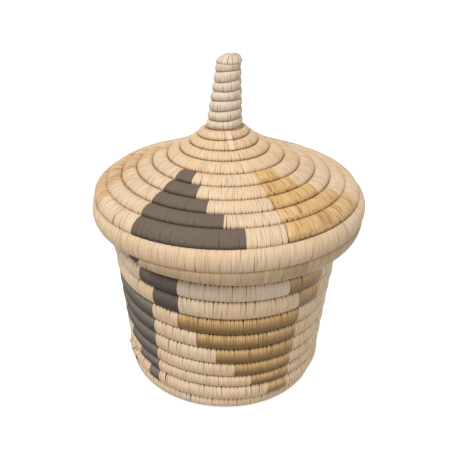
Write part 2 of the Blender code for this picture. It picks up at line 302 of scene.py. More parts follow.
# Shapes of one wrap, made once each and placed by the thousand. x runs across the round from the near
# seam to the far one, y along the coil and z outwards, each as a share of the nominal size.
wrapValues = {
    "across": 0.0099, "width": 0.0026, "depth": 0.0082,
    "tapers": (0.0, 0.16, 0.30, 0.70),      # how much wider the far side is, on rounds of a small radius
    "slant": math.radians(1.3), "widthSpread": 0.05,
    # across, out, the share of its width that the wrap keeps, and how much painted shade the gap beside it
    # gets
    "loop": ((0.008, -0.15, 1.0, 0.75), (0.03, -0.055, 1.0, 0.50), (0.11, 0.050, 1.0, 0.28),
             (0.28, 0.118, 1.0, 0.20), (0.50, 0.146, 1.0, 0.20), (0.71, 0.122, 1.0, 0.22),
             (0.86, 0.056, 1.0, 0.40), (0.93, 0.0, 0.92, 0.85), (0.974, -0.060, 0.76, 1.0),
             (0.998, -0.22, 0.9, 1.0), (0.97, -0.84, 1.0, 1.0), (0.80, -0.975, 1.0, 0.8),
             (0.5, -1.0, 1.0, 0.6), (0.2, -0.975, 1.0, 0.8), (0.03, -0.84, 1.0, 1.0), (0.0, -0.30, 1.0, 1.0)),
    "middle": (0.5, -0.43),     # of that loop
    # how much of that narrowing a shape shows, where it isn't all of it
    "narrowing": {"smooth": 0.0, "fine": 0.6, "single": 0.8, "petal": 0.4},
    # shapes with the same strands as another one
    "strandsOf": {"smooth": "pair", "pairLid": "pair", "petal": "fine"},
    # across the strands: place as a share of the width, lift in metres and how deep in a groove it lies,
    # which sets its painted shade
    "pair": ((-0.5, -0.00014, 1.0), (-0.27, 0.00002, 0.0), (-0.02, -0.00007, 0.6), (0.25, 0.00003, 0.0),
             (0.5, -0.00014, 1.0)),
    "pairTurned": ((-0.5, -0.00014, 1.0), (-0.20, 0.00003, 0.0), (0.09, -0.00007, 0.6), (0.31, 0.0, 0.0),
                   (0.5, -0.00014, 1.0)),
    "fine": ((-0.5, -0.00004, 0.12), (-0.28, 0.0, 0.0), (0.0, -0.00002, 0.05), (0.28, 0.0, 0.0),
             (0.5, -0.00004, 0.12)),
    "fineSeam": 0.4,            # fine wraps get painted seam shade right across where the loop's painted shade is past this
    "single": ((-0.5, -0.00011, 0.7), (-0.27, -0.00002, 0.1), (0.0, 0.00003, 0.0), (0.27, -0.00002, 0.1),
               (0.5, -0.00011, 0.7)),
    # a flat strap sinks between the wraps near the far seam, a strip ends on top of them
    "flatTop": ((-0.02, -0.18), (0.010, -0.04), (0.10, 0.075), (0.28, 0.142), (0.46, 0.166), (0.62, 0.150)),
    "strap": ((0.73, 0.117), (0.81, 0.066), (0.84, 0.030), (0.66, 0.080)),
    "strip": ((0.66, 0.10),),
    "flatUnderside": ((0.40, 0.10), (0.14, 0.02), (0.05, -0.10)),
    "sharpFrom": math.radians(40),
    "humpFrom": -0.3,           # points below this share of the depth keep their place when the round rises
    "petalTaper": 1.7,
}
taperedShapes = ("pair", "pairTurned", "pairLid", "smooth", "fine", "single")    # made once for each taper
loneShapes = ("petal", "strap", "strip")


def newMesh(name, vertices, faces):
    mesh = bpy.data.meshes.new(name)
    mesh.from_pydata(vertices, [], faces)
    shape = bmesh.new()
    shape.from_mesh(mesh)
    bmesh.ops.recalc_face_normals(shape, faces=shape.faces)
    shape.to_mesh(mesh)
    shape.free()
    mesh.shade_smooth()
    return mesh


def placeObject(name, data):
    item = bpy.data.objects.new(name, data)
    bpy.context.collection.objects.link(item)
    return item


def prismFaces(count):
    # both ends and the sides between them, for two rings of points
    faces = [tuple(range(count)), tuple(range(2 * count - 1, count - 1, -1))]
    for index in range(count):
        beside = (index + 1) % count
        faces.append((index, beside, count + beside, count + index))
    return faces


def wrapMesh(kind, taper):
    v = wrapValues
    columns = v[v["strandsOf"].get(kind, kind)]
    loop = v["loop"]
    narrowing = v["narrowing"].get(kind, 1.0)
    points = [Vector((x * v["across"], 0.0, z * v["depth"])) for x, z, _, _ in loop]
    vertices, uvs, grooves = [], [], []
    travelled = 0.0
    for index, ((x, _, kept, dark), point) in enumerate(zip(loop, points)):
        before, after = points[index - 1], points[(index + 1) % len(points)]
        along = (after - before).normalized()
        outward = Vector((-along.z, 0.0, along.x))
        travelled += (point - before).length if index else 0.0
        widened = (1 + taper * (x - 0.5)) * (1 - (1 - kept) * narrowing)
        # painted shade: the loop's gap darkness times the column's groove, and on fine wraps a seam shade
        # right across
        seam = max(0.0, dark - v["fineSeam"]) if kind == "fine" else 0.0
        for share, lift, groove in columns:
            place = point + outward * lift
            place.y = share * v["width"] * widened
            vertices.append(place)
            uvs.append((travelled * millimetres, share * v["width"] * millimetres))
            grooves.append(max(groove * dark, seam))
    count = len(columns)
    faces = []
    for row in range(len(loop)):
        below = (row + 1) % len(loop)
        for column in range(count - 1):
            faces.append((row * count + column, row * count + column + 1,
                          below * count + column + 1, below * count + column))
    mesh = newMesh(kind, vertices, faces)
    markStrands(mesh, uvs, grooves)
    turnOutwards(mesh)
    return mesh


def turnOutwards(mesh):
    # a band has no inside of its own, so its faces are turned away from the middle of the coil
    x, z = wrapValues["middle"]
    middle = Vector((x * wrapValues["across"], 0.0, z * wrapValues["depth"]))
    inwards = [face for face in mesh.polygons if face.normal.dot(face.center - middle) < 0]
    if len(inwards) * 2 > len(mesh.polygons):
        mesh.flip_normals()


def strapMesh(kind):
    v = wrapValues
    loop = v["flatTop"] + v[kind] + v["flatUnderside"]
    vertices, uvs = [], []
    for share in (-0.5, 0.5):
        for x, z in loop:
            vertices.append(Vector((x * v["across"], share * v["width"], z * v["depth"])))
            uvs.append((x * v["across"] * millimetres, share * v["width"] * millimetres))
    mesh = newMesh(kind, vertices, prismFaces(len(loop)))
    markStrands(mesh, uvs, [0.0] * len(vertices))
    mesh.set_sharp_from_angle(angle=v["sharpFrom"])
    return mesh


def markStrands(mesh, uvs, grooves):
    # millimetres along and across the strand, and how deep in a groove a point lies, for the painted shade
    # there
    layer = mesh.uv_layers.new(name="strands")
    for corner in mesh.loops:
        layer.data[corner.index].uv = uvs[corner.vertex_index]
    groove = mesh.attributes.new("groove", 'FLOAT', 'POINT')
    groove.data.foreach_set("value", grooves)
    hump = mesh.attributes.new("hump", 'FLOAT', 'POINT')
    hump.data.foreach_set("value", [humpAt(v.co.x / wrapValues["across"], v.co.z / wrapValues["depth"])
                                    for v in mesh.vertices])


def humpAt(x, z):
    # 1 halfway across the outer face, 0 at its seams and inside
    return 4 * x * (1 - x) if z > wrapValues["humpFrom"] else 0.0


def makeShapes():
    # a collection hands out its objects by name, so the names carry the order
    shapes = bpy.data.collections.new("wrapShapes")
    meshes = [wrapMesh(kind, taper) for kind in taperedShapes for taper in wrapValues["tapers"]]
    meshes.append(wrapMesh("petal", wrapValues["petalTaper"]))
    meshes += [strapMesh("strap"), strapMesh("strip")]
    for index, mesh in enumerate(meshes):
        shapes.objects.link(bpy.data.objects.new(f"wrapShape{index:02d}", mesh))
    return shapes


def shapeIndex(shape, taper):
    tapers = wrapValues["tapers"]
    if shape in loneShapes:
        return len(taperedShapes) * len(tapers) + loneShapes.index(shape)
    nearest = min(range(len(tapers)), key=lambda index: abs(tapers[index] - abs(taper)))
    return taperedShapes.index(shape) * len(tapers) + nearest


wrapShapes = makeShapes()


# Finishes
def linear(hexColour):
    colour = []
    for index in (0, 2, 4):
        value = int(hexColour[index:index + 2], 16) / 255
        colour.append(value / 12.92 if value <= 0.04045 else ((value + 0.055) / 1.055) ** 2.4)
    return colour + [1.0]


# An input goes by its name or its number. Those of a Map Range node are 1 and 2, from, and 3 and 4, to.
def addNode(tree, kind, settings=(), inputs=(), output=0):
    node = tree.nodes.new(kind)
    for name, value in dict(settings).items():
        setattr(node, name, value)
    for name, value in dict(inputs).items():
        if isinstance(name, int):
            socket = node.inputs[name]
        else:
            socket = next(s for s in node.inputs if s.name == name and not s.is_unavailable)
        if isinstance(value, bpy.types.NodeSocket):
            tree.links.new(value, socket)
        else:
            socket.default_value = value
    if isinstance(output, int):
        usable = [s for s in node.outputs if not s.is_unavailable]
        return usable[output] if usable else None
    return node.outputs[output]


def emptyTree(owner):
    owner.use_nodes = True
    owner.node_tree.nodes.clear()
    return owner.node_tree


# What the four finishes share
strandValues = {
    "fibreShift": 37.0, "lineShift": 91.0,          # from tone to tone, so that no two wraps are alike
    "fibreDetail": 2.5, "fibreRoughness": 0.6, "fibreFrom": 0.3, "fibreTo": 0.7,
    "lineLength": 1.1, "lineWidth": 1.2,            # times those of a fibre
    "lineDetail": 1.0, "lineFrom": 0.54, "lineTo": 0.66, "bleachedLine": 0.35,
    "patchSize": 0.025, "patchDetail": 2.0, "patchFrom": 0.4, "patchTo": 0.65,
    "underFrom": 0.40, "underTo": -0.26,            # how far up a surface faces, from none of the painted shade to all of it
    "shadedToneFrom": 1.4, "shadedToneTo": 3.4,                 # tones of wraps that lie in shade, from none of the painted shade to all of it
    "bump": 0.6,
}
# Colours and their shares, gloss, fibres in millimetres and their relief in metres. The under colour is
# painted shade on what faces down or lies in shade, the groove colour painted shade between strands and in
# the seams.
raffiaValues = {"light": "F3DBBE", "dark": "DCC09E", "groove": "85602F", "spot": "E9C08A", "grey": "DDD6CB",
                "under": "A0896A", "underShare": 0.32, "line": "8C6C48", "lineShare": 0.60,
                "roughness": 0.60, "specular": 0.30, "fibreWidth": 0.36, "fibreLength": 9.0,
                "grooveShare": 0.55, "toneShare": 0.50, "spotShare": 0.45, "relief": 0.00007}
charcoalValues = {"light": "7C6E60", "dark": "665A4F", "groove": "40372F", "spot": "746554", "grey": "91867C",
                  "under": "463E39", "underShare": 0.9, "line": "544A40", "lineShare": 0.25,
                  "roughness": 0.85, "specular": 0.15, "fibreWidth": 0.26, "fibreLength": 1.6,
                  "grooveShare": 0.75, "toneShare": 0.15, "spotShare": 0.40, "relief": 0.00010}
strawValues = {"light": "F1CC9B", "dark": "CDA168", "groove": "4A3313", "spot": "DDB070", "grey": "B49A6C",
               "under": "6B4C08", "underShare": 1.0, "line": "6B4E1E", "lineShare": 0.7,
               "roughness": 0.36, "specular": 0.25, "fibreWidth": 0.42, "fibreLength": 12.0,
               "grooveShare": 0.92, "toneShare": 0.6, "spotShare": 0.35, "relief": 0.00006}
# the core's dark browns are partly the grass's own colour and partly painted shade for the gaps between wraps
coreValues = {"light": "A8804C", "dark": "6E5029", "groove": "2A1C0E", "spot": "4A331B", "grey": "46301A",
              "under": "33230F", "underShare": 0.3, "line": "1E140B", "lineShare": 0.3,
              "roughness": 0.9, "specular": 0.1, "fibreWidth": 0.8, "fibreLength": 14.0,
              "grooveShare": 0.3, "toneShare": 0.2, "spotShare": 0.3, "relief": 0.0002}


def makeStrand(name, v):
    s = strandValues
    material = bpy.data.materials.new(name)
    tree = emptyTree(material)
    strands = addNode(tree, "ShaderNodeUVMap", {"uv_map": "strands"})
    place = addNode(tree, "ShaderNodeTexCoord", output="Object")
    tone, groove, grey, upward = (
        addNode(tree, "ShaderNodeAttribute", {"attribute_name": label}, output="Fac")
        for label in ("tone", "groove", "grey", "upward"))

    # fibres run along each strand, and every wrap shows another stretch of them
    stretched = addNode(tree, "ShaderNodeMapping", inputs={
        "Vector": strands, "Scale": (1 / v["fibreLength"], 1 / v["fibreWidth"], 1.0)})
    shifted = addNode(tree, "ShaderNodeMath", {"operation": 'MULTIPLY'}, {0: tone, 1: s["fibreShift"]})
    fibre = addNode(tree, "ShaderNodeTexNoise", {"noise_dimensions": '4D'}, {
        "Vector": stretched, "W": shifted, "Scale": 1.0, "Detail": s["fibreDetail"],
        "Roughness": s["fibreRoughness"]})
    fibre = addNode(tree, "ShaderNodeMapRange", inputs={
        "Value": fibre, 1: s["fibreFrom"], 2: s["fibreTo"]})

    # thin dark lines where two fibres part, about one in every few strands, fainter where it is bleached
    length, width = s["lineLength"] * v["fibreLength"], s["lineWidth"] * v["fibreWidth"]
    parted = addNode(tree, "ShaderNodeMapping", inputs={
        "Vector": strands, "Scale": (1 / length, 1 / width, 1.0)})
    moved = addNode(tree, "ShaderNodeMath", {"operation": 'MULTIPLY'}, {0: tone, 1: s["lineShift"]})
    line = addNode(tree, "ShaderNodeTexNoise", {"noise_dimensions": '4D'}, {
        "Vector": parted, "W": moved, "Scale": 1.0, "Detail": s["lineDetail"]})
    line = addNode(tree, "ShaderNodeMapRange", inputs={
        "Value": line, 1: s["lineFrom"], 2: s["lineTo"], 4: v["lineShare"]})
    bleached = addNode(tree, "ShaderNodeMapRange", inputs={"Value": grey, 3: 1.0, 4: s["bleachedLine"]})
    line = addNode(tree, "ShaderNodeMath", {"operation": 'MULTIPLY'}, {0: line, 1: bleached})

    # patches where sun and handling have changed the colour
    patches = addNode(tree, "ShaderNodeTexNoise", inputs={
        "Vector": place, "Scale": 1 / s["patchSize"], "Detail": s["patchDetail"]})
    patches = addNode(tree, "ShaderNodeMapRange", inputs={
        "Value": patches, 1: s["patchFrom"], 2: s["patchTo"], 4: v["spotShare"]})

    # painted shade: darker where a surface faces down or the wrap lies in shade, and deep between two strands
    # and in the seams
    toned = addNode(tree, "ShaderNodeMapRange", inputs={"Value": tone, 4: v["toneShare"]})
    under = addNode(tree, "ShaderNodeMapRange", inputs={
        "Value": upward, 1: s["underFrom"], 2: s["underTo"], 4: v["underShare"]})
    shadedTone = addNode(tree, "ShaderNodeMapRange", inputs={"Value": tone, 1: s["shadedToneFrom"], 2: s["shadedToneTo"]})
    under = addNode(tree, "ShaderNodeMath", {"operation": 'MAXIMUM'}, {0: under, 1: shadedTone})
    deep = addNode(tree, "ShaderNodeMapRange", inputs={"Value": groove, 4: v["grooveShare"]})
    colour = linear(v["light"])
    for share, covering in ((fibre, "dark"), (patches, "spot"), (toned, "dark"), (grey, "grey"),
                            (under, "under"), (line, "line"), (deep, "groove")):
        colour = addNode(tree, "ShaderNodeMix", {"data_type": 'RGBA'}, {
            "Factor": share, "A": colour, "B": linear(v[covering])})
    bump = addNode(tree, "ShaderNodeBump", inputs={
        "Strength": s["bump"], "Distance": v["relief"], "Height": fibre})
    shader = addNode(tree, "ShaderNodeBsdfPrincipled", inputs={
        "Base Color": colour, "Roughness": v["roughness"], "Specular IOR Level": v["specular"],
        "Normal": bump})
    addNode(tree, "ShaderNodeOutputMaterial", inputs={"Surface": shader})
    return material


# Raffia is split palm leaf: satin, with fine long fibres. Dyed, it turns matt and even. Straw is a flat,
# smooth stem with a slight shine. The grass of the core is rough and only shows between wraps; its dark
# browns are partly the grass's own colour and partly painted shade for those gaps.
naturalRaffia = makeStrand("naturalRaffia", raffiaValues)
charcoalRaffia = makeStrand("charcoalRaffia", charcoalValues)
tanStraw = makeStrand("tanStraw", strawValues)
grassCore = makeStrand("grassCore", coreValues)
wrapFinishes = (naturalRaffia, charcoalRaffia, tanStraw)
naturalKind, charcoalKind, tanKind = range(len(wrapFinishes))
print("finishes made")


# The tree that places wraps on their points and joins them with the core they are wound on
def makeWrapTree():
    tree = bpy.data.node_groups.new("wrapsOnCoil", 'GeometryNodeTree')
    face = tree.interface
    for name, kind in (("Places", 'NodeSocketGeometry'), ("Shapes", 'NodeSocketCollection'),
                       ("Core", 'NodeSocketObject'), ("Slant", 'NodeSocketFloat'),
                       ("Width spread", 'NodeSocketFloat'), ("Seed", 'NodeSocketInt')):
        face.new_socket(name, in_out='INPUT', socket_type=kind)
    face.new_socket("Wrapped", in_out='OUTPUT', socket_type='NodeSocketGeometry')
    given = tree.nodes.new("NodeGroupInput").outputs

    def named(name, kind):
        return addNode(tree, "GeometryNodeInputNamedAttribute", {"data_type": kind}, {"Name": name})

    def spread(limit, shift):
        below = addNode(tree, "ShaderNodeMath", {"operation": 'MULTIPLY'}, {0: limit, 1: -1.0})
        seed = addNode(tree, "ShaderNodeMath", {"operation": 'ADD'}, {0: given["Seed"], 1: shift})
        return addNode(tree, "FunctionNodeRandomValue", {"data_type": 'FLOAT'}, {
            "Min": below, "Max": limit, "Seed": seed})

    facing = addNode(tree, "FunctionNodeAxesToRotation", {"primary_axis": 'X', "secondary_axis": 'Z'}, {
        0: named("acrossAxis", 'FLOAT_VECTOR'), 1: named("outwardAxis", 'FLOAT_VECTOR')})
    slanted = addNode(tree, "ShaderNodeCombineXYZ", inputs={"Z": spread(given["Slant"], 0.0)})
    slanted = addNode(tree, "FunctionNodeEulerToRotation", inputs={0: slanted})
    facing = addNode(tree, "FunctionNodeRotateRotation", {"rotation_space": 'LOCAL'}, {0: facing, 1: slanted})
    wider = addNode(tree, "ShaderNodeMath", {"operation": 'ADD'}, {
        0: spread(given["Width spread"], 1.0), 1: 1.0})
    wider = addNode(tree, "ShaderNodeCombineXYZ", inputs={"X": 1.0, "Y": wider, "Z": 1.0})
    size = addNode(tree, "ShaderNodeVectorMath", {"operation": 'MULTIPLY'}, {
        0: named("wrapSize", 'FLOAT_VECTOR'), 1: wider})
    shapes = addNode(tree, "GeometryNodeCollectionInfo", inputs={
        "Collection": given["Shapes"], "Separate Children": True, "Reset Children": True})
    wraps = addNode(tree, "GeometryNodeInstanceOnPoints", inputs={
        "Points": given["Places"], "Instance": shapes, "Pick Instance": True,
        "Instance Index": named("wrapShape", 'INT'), "Rotation": facing, "Scale": size})
    wraps = addNode(tree, "GeometryNodeRealizeInstances", inputs={"Geometry": wraps})
    lifted = addNode(tree, "ShaderNodeMath", {"operation": 'MULTIPLY'}, {
        0: named("rise", 'FLOAT'), 1: named("hump", 'FLOAT')})
    lifted = addNode(tree, "ShaderNodeVectorMath", {"operation": 'SCALE'}, {
        0: named("outwardAxis", 'FLOAT_VECTOR'), "Scale": lifted})
    wraps = addNode(tree, "GeometryNodeSetPosition", inputs={"Geometry": wraps, "Offset": lifted})
    for kind, finish in enumerate(wrapFinishes):
        chosen = addNode(tree, "FunctionNodeCompare", {"data_type": 'INT', "operation": 'EQUAL'}, {
            "A": named("wrapKind", 'INT'), "B": kind})
        wraps = addNode(tree, "GeometryNodeSetMaterial", inputs={
            "Geometry": wraps, "Selection": chosen, "Material": finish})
    core = addNode(tree, "GeometryNodeObjectInfo", inputs={"Object": given["Core"]}, output="Geometry")
    core = addNode(tree, "GeometryNodeSetMaterial", inputs={"Geometry": core, "Material": grassCore})
    join = tree.nodes.new("GeometryNodeJoinGeometry")
    tree.links.new(wraps, join.inputs[0])
    tree.links.new(core, join.inputs[0])
    addNode(tree, "NodeGroupOutput", inputs={"Wrapped": join.outputs[0]})
    return tree


wrapTree = makeWrapTree()

# Stepped motifs: kind, first and last round, the edge that stays put, the edge that steps, the step from
# round to round and the drift of the first edge, in degrees from the front towards the right
motifValues = {
    "lid": ((charcoalKind, 5, 9, -42.3, -28.0, 8.7, 0.85), (tanKind, 5, 9, 23.0, 41.5, 7.0, 0.0),
            (charcoalKind, 5, 9, 146.0, 161.0, 8.5, 0.0), (tanKind, 5, 9, -115.0, -98.5, 8.1, 0.0)),
    "wall": ((tanKind, 1, 6, 38.3, 25.2, -9.7, 0.35), (charcoalKind, 1, 6, -39.0, -47.0, -8.4, 0.25),
             (charcoalKind, 1, 6, 147.0, 133.5, -9.7, 0.0), (tanKind, 1, 6, -116.5, -130.0, -9.7, 0.0),
             (tanKind, 7, 10, 53.5, 39.2, -7.6, 0.0), (charcoalKind, 7, 10, -21.7, -35.8, -7.4, 0.0),
             (charcoalKind, 7, 10, 161.0, 146.7, -7.6, 0.0), (tanKind, 7, 10, -102.5, -116.8, -7.6, 0.0)),
}
# How a wrapped stretch varies from strand to strand
layValues = {
    "bundle": (3, 11),          # wraps of one leaf, before a new one is taken up
    "bundleTone": 0.30, "wrapTone": 0.12, "widthSpread": 0.14,
    "gap": (0.00003, 0.00013), "slantSpread": math.radians(1.2), "strapWidth": (0.0014, 0.0085),
    "readSteps": 96,            # places in a turn where its length is read
    "overlap": 1.05,            # wraps are pressed together
    "trim": 0.00016,            # kept free at either end of a piece
    "stripLift": 0.0006,        # a flat strip or a worn wrap stands out from the others
    "wornReach": 0.76,          # a worn wrap has lost its lower end, and the grass shows
}


def motifSpans(motifs, roundNumber, start):
    # a row of a motif that runs on past the back lies in the round before or after its own
    spans = []
    for kind, first, last, fixed, stepping, step, drift in motifs:
        for beside in (-1, 0, 1):
            further = roundNumber + beside - first
            if 0 <= further <= last - first:
                turns = [start + beside + frontTurn - degrees / 360
                         for degrees in (fixed + further * drift, stepping + further * step)]
                spans.append((kind, min(turns), max(turns)))
    return spans


def motifEdges(spans, start, end):
    edges = {start, end}
    for _, low, high in spans:
        edges.update(turn for turn in (low, high) if start < turn < end)
    return sorted(edges)


def kindAt(spans, turn):
    for kind, low, high in spans:
        if low <= turn <= high:
            return kind
    return naturalKind


def readLengths(stationAt, start, end):
    steps = max(4, math.ceil((end - start) * layValues["readSteps"]))
    turns = [start + (end - start) * step / steps for step in range(steps + 1)]
    return turns, runningLengths([stationAt(turn)["middle"] for turn in turns])


def turnAtLength(turns, lengths, length):
    index, share = stretchAt(lengths, length)
    return turns[index] + (turns[index + 1] - turns[index]) * share


def layStretch(stationAt, start, end, kind, look, draw):
    turns, lengths = readLengths(stationAt, start, end)
    total = lengths[-1]
    v = layValues
    count = max(1, round(total / look["width"]))
    widths, gaps, tones, slants = [], [], [], []
    left = 0
    for index in range(count):
        if not left:
            left = draw.randint(*v["bundle"])
            tone = draw.gauss(look["tone"], v["bundleTone"])
            slant = draw.gauss(0.0, v["slantSpread"]) * look.get("slantShare", 1.0)
        left -= 1
        widths.append(look["width"] * draw.uniform(1 - v["widthSpread"], 1 + v["widthSpread"]))
        opens = not left and draw.random() < look["gapShare"]
        gaps.append(draw.uniform(*v["gap"]) if opens and index < count - 1 else 0.0)
        tones.append(tone + draw.gauss(0.0, v["wrapTone"]))
        slants.append(slant)
    stretch = (total - sum(gaps)) / sum(widths)
    wraps = []
    reached = 0.0
    for index in range(count):
        width = widths[index] * stretch
        turn = turnAtLength(turns, lengths, reached + width / 2)
        shape = look["shapes"][draw.randint(0, len(look["shapes"]) - 1)]
        wraps.append({"turn": turn, "width": width * v["overlap"], "kind": kind, "tone": tones[index],
                      "slant": slants[index], "shape": shape, "grey": look["grey"]})
        reached += width + gaps[index]
    return wraps


def layStraps(stationAt, start, end, look, draw):
    turns, lengths = readLengths(stationAt, start, end)
    widths = []
    while sum(widths) < lengths[-1]:
        widths.append(draw.uniform(*layValues["strapWidth"]))
    stretch = lengths[-1] / sum(widths)
    reached = 0.0
    straps = []
    for width in widths:
        turn = turnAtLength(turns, lengths, reached + width * stretch / 2)
        straps.append({"turn": turn, "width": width * stretch - layValues["gap"][0], "kind": tanKind,
                       "tone": draw.gauss(look["tone"], layValues["bundleTone"]), "slant": 0.0,
                       "shape": "strap", "grey": 0.0})
        reached += width * stretch
    return straps


# The grass inside a round, cut across: each point as shares of the way to the far seam and of the depth
coreSection = ((0.03, -0.20), (0.10, -0.01), (0.5, 0.070), (0.88, -0.01), (0.965, -0.20), (0.96, -0.75),
               (0.85, -0.92), (0.5, -0.95), (0.15, -0.92), (0.04, -0.75))


def coreTube(name, stationAt, start, end, steps):
    count = max(2, math.ceil((end - start) * steps))
    vertices, faces = [], []
    sides = len(coreSection)
    for step in range(count + 1):
        station = stationAt(start + (end - start) * step / count)
        for x, z in coreSection:
            out = station["depth"] * z + station["rise"] * humpAt(x, z)
            vertices.append(station["near"] + station["across"] * x + station["outward"] * out)
    for row in range(count):
        for side in range(sides):
            beside = (side + 1) % sides
            faces.append((row * sides + side, row * sides + beside, (row + 1) * sides + beside,
                          (row + 1) * sides + side))
    faces.append(tuple(range(sides)))
    faces.append(tuple(range(count * sides, (count + 1) * sides)))
    mesh = newMesh(name, vertices, faces)
    mesh.uv_layers.new(name="strands")
    return mesh


def pointMesh(name, wraps):
    v = wrapValues
    mesh = bpy.data.meshes.new(name)
    mesh.from_pydata([wrap["station"]["near"] for wrap in wraps], [], [])
    across, outward, size = [], [], []
    for wrap in wraps:
        station = wrap["station"]
        slanted = Matrix.Rotation(wrap["slant"], 3, station["outward"]) @ station["across"].normalized()
        across.extend(slanted)
        outward.extend(station["outward"])
        reach = wrap.get("reach", 1.0)
        size.extend((station["across"].length * reach / v["across"], wrap["width"] / v["width"],
                     station["depth"] / v["depth"]))
    for label, values in (("acrossAxis", across), ("outwardAxis", outward), ("wrapSize", size)):
        mesh.attributes.new(label, 'FLOAT_VECTOR', 'POINT').data.foreach_set("vector", values)
    shapes = [shapeIndex(wrap["shape"], wrap["station"]["taper"]) for wrap in wraps]
    for label, kind, values in (("wrapShape", 'INT', shapes),
                                ("wrapKind", 'INT', [wrap["kind"] for wrap in wraps]),
                                ("tone", 'FLOAT', [wrap["tone"] for wrap in wraps]),
                                ("grey", 'FLOAT', [wrap["grey"] for wrap in wraps]),
                                ("rise", 'FLOAT', [wrap["station"]["rise"] for wrap in wraps])):
        mesh.attributes.new(label, kind, 'POINT').data.foreach_set("value", values)
    return mesh


def markUpward(mesh):
    # how far up each point faces, for the painted shade on what faces down, which is deepest on the straw
    upward = mesh.attributes.new("upward", 'FLOAT', 'POINT')
    upward.data.foreach_set("value", [item.vector.z for item in mesh.vertex_normals])


def socketName(tree, name):
    return next(item.identifier for item in tree.interface.items_tree if item.name == name)


def wrapPiece(node, body, wraps, coreMesh, seed):
    name = node + "_wrapped"
    host = placeObject(name + "_places", pointMesh(name + "_places", wraps))
    coreObject = placeObject(name + "_core", coreMesh)
    modifier = host.modifiers.new("wrapsOnCoil", 'NODES')
    modifier.node_group = wrapTree
    for label, value in (("Shapes", wrapShapes), ("Core", coreObject), ("Slant", wrapValues["slant"]),
                         ("Width spread", wrapValues["widthSpread"]), ("Seed", seed)):
        modifier[socketName(wrapTree, label)] = value
    evaluated = host.evaluated_get(bpy.context.evaluated_depsgraph_get())
    mesh = bpy.data.meshes.new_from_object(evaluated)
    mesh.name = name
    for label in ("acrossAxis", "outwardAxis", "wrapSize", "wrapShape", "wrapKind", "rise", "hump"):
        if label in mesh.attributes:
            mesh.attributes.remove(mesh.attributes[label])
    markUpward(mesh)
    bpy.data.objects.remove(host)
    bpy.data.objects.remove(coreObject)
    piece = placeObject(name, mesh)
    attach(piece, body)
    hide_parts(node)
    return piece


def nearness(distance, reach):
    # 1 at an end of a round, and down to 0 at this reach from it
    return max(0.0, 1 - distance / reach)


def wrapRound(node, body, coil, start, end, roundNumber, motifs, seed, look):
    draw = random.Random(seed)

    def stationAt(turn):
        return coilStation(coil, turn)

    wraps = []
    spans = motifSpans(motifs, roundNumber, start)
    edges = motifEdges(spans, start, end)
    for low, high in zip(edges, edges[1:]):
        kind = kindAt(spans, (low + high) / 2)
        stretchLook = dict(look, **look.get(kind, {}))
        wraps += layStretch(stationAt, low, high, kind, stretchLook, draw)
        if kind == tanKind and body == "lid":
            wraps += layStraps(stationAt, low, high, stretchLook, draw)
    for wrap in wraps:
        if any(a < wrap["turn"] < b for a, b in look.get("worn", ())):
            wrap["reach"] = layValues["wornReach"]
    for turn, width, reach, tone, slant in look.get("strips", ()):
        wraps.append({"turn": turn, "width": width, "kind": naturalKind, "tone": tone,
                      "slant": math.radians(slant), "shape": "strip", "grey": 0.0, "reach": reach})
    for wrap in wraps:
        wrap["station"] = stationAt(wrap["turn"])
        wrap["station"]["rise"] += look.get("lift", 0.0)
        if "reach" in wrap:
            wrap["station"]["near"] += wrap["station"]["outward"] * layValues["stripLift"]
        wrap["slant"] += look.get("fan", 0.0) * nearness(end - wrap["turn"], look.get("fanTurns", 1.0))
        # the tail's tone starts lighter, so its painted shade eases in from the start of the round
        wrap["tone"] += look.get("startToneShift", 0.0) * nearness(wrap["turn"] - start, look.get("startToneTurns", 1.0))
    wraps = [wrap for wrap in wraps if wrap["station"]["across"].length > basketValues["bulge"]]
    middle = stationAt(start)["middle"]
    trim = layValues["trim"] / (fullTurn * math.hypot(middle.x, middle.y))
    core = coreTube(node, stationAt, start + trim, end - trim, basketValues["stepsPerTurn"])
    return wrapPiece(node, body, wraps, core, seed)


# How the wraps of a round look: their width, how far towards the darker tone, how bleached, how many gaps
# and which shapes. A kind with a look of its own has it under its number.
plainLook = {
    "width": 0.0023, "tone": 0.45, "grey": 0.0, "gapShare": 0.25, "shapes": ("pair", "pairTurned"),
    charcoalKind: {"width": 0.0017, "shapes": ("fine",), "gapShare": 0.0, "tone": 0.5, "slantShare": 0.2},
    tanKind: {"gapShare": 0.6, "tone": 0.1},
}
smoothLook = dict(plainLook, shapes=("smooth",))
lidLook = dict(plainLook, shapes=("pairLid",), width=0.0015, tone=0.6)
lidLook[tanKind] = {"gapShare": 0.6, "tone": 0.8}
brimLook = dict(smoothLook, width=0.0017, tone=0.95)
# the last turn, under the brim, takes a darker tone as painted shade from a quarter turn on, and its wraps
# fan out at the tail
tailLook = dict(smoothLook, tone=2.8, startToneShift=-1.8, startToneTurns=0.25, fan=math.radians(-32.0), fanTurns=0.016)

# What differs from round to round of the wall. A strip has its turn, width, reach, tone and slant in degrees.
wallValues = {
    "grey": {9: 0.35, 10: 0.8, 11: 0.35}, "otherGrey": 0.08,
    "lift": {1: 0.0009, 2: 0.0007, 8: 0.0003, 9: 0.0006, 10: 0.0006},
    "charcoalGrey": 0.7, "charcoalGreyRounds": 7,
    "wornRound": 2, "worn": ((7.674, 7.722),),          # one worn spot low at the left, with torn strands
    "torn": ((7.681, 0.0009, 1.2, -0.6, 24.0), (7.697, 0.0007, 1.5, -0.8, -20.0),
             (7.710, 0.0009, 1.2, -0.7, 30.0), (7.719, 0.0007, 1.4, -0.4, -28.0)),
}
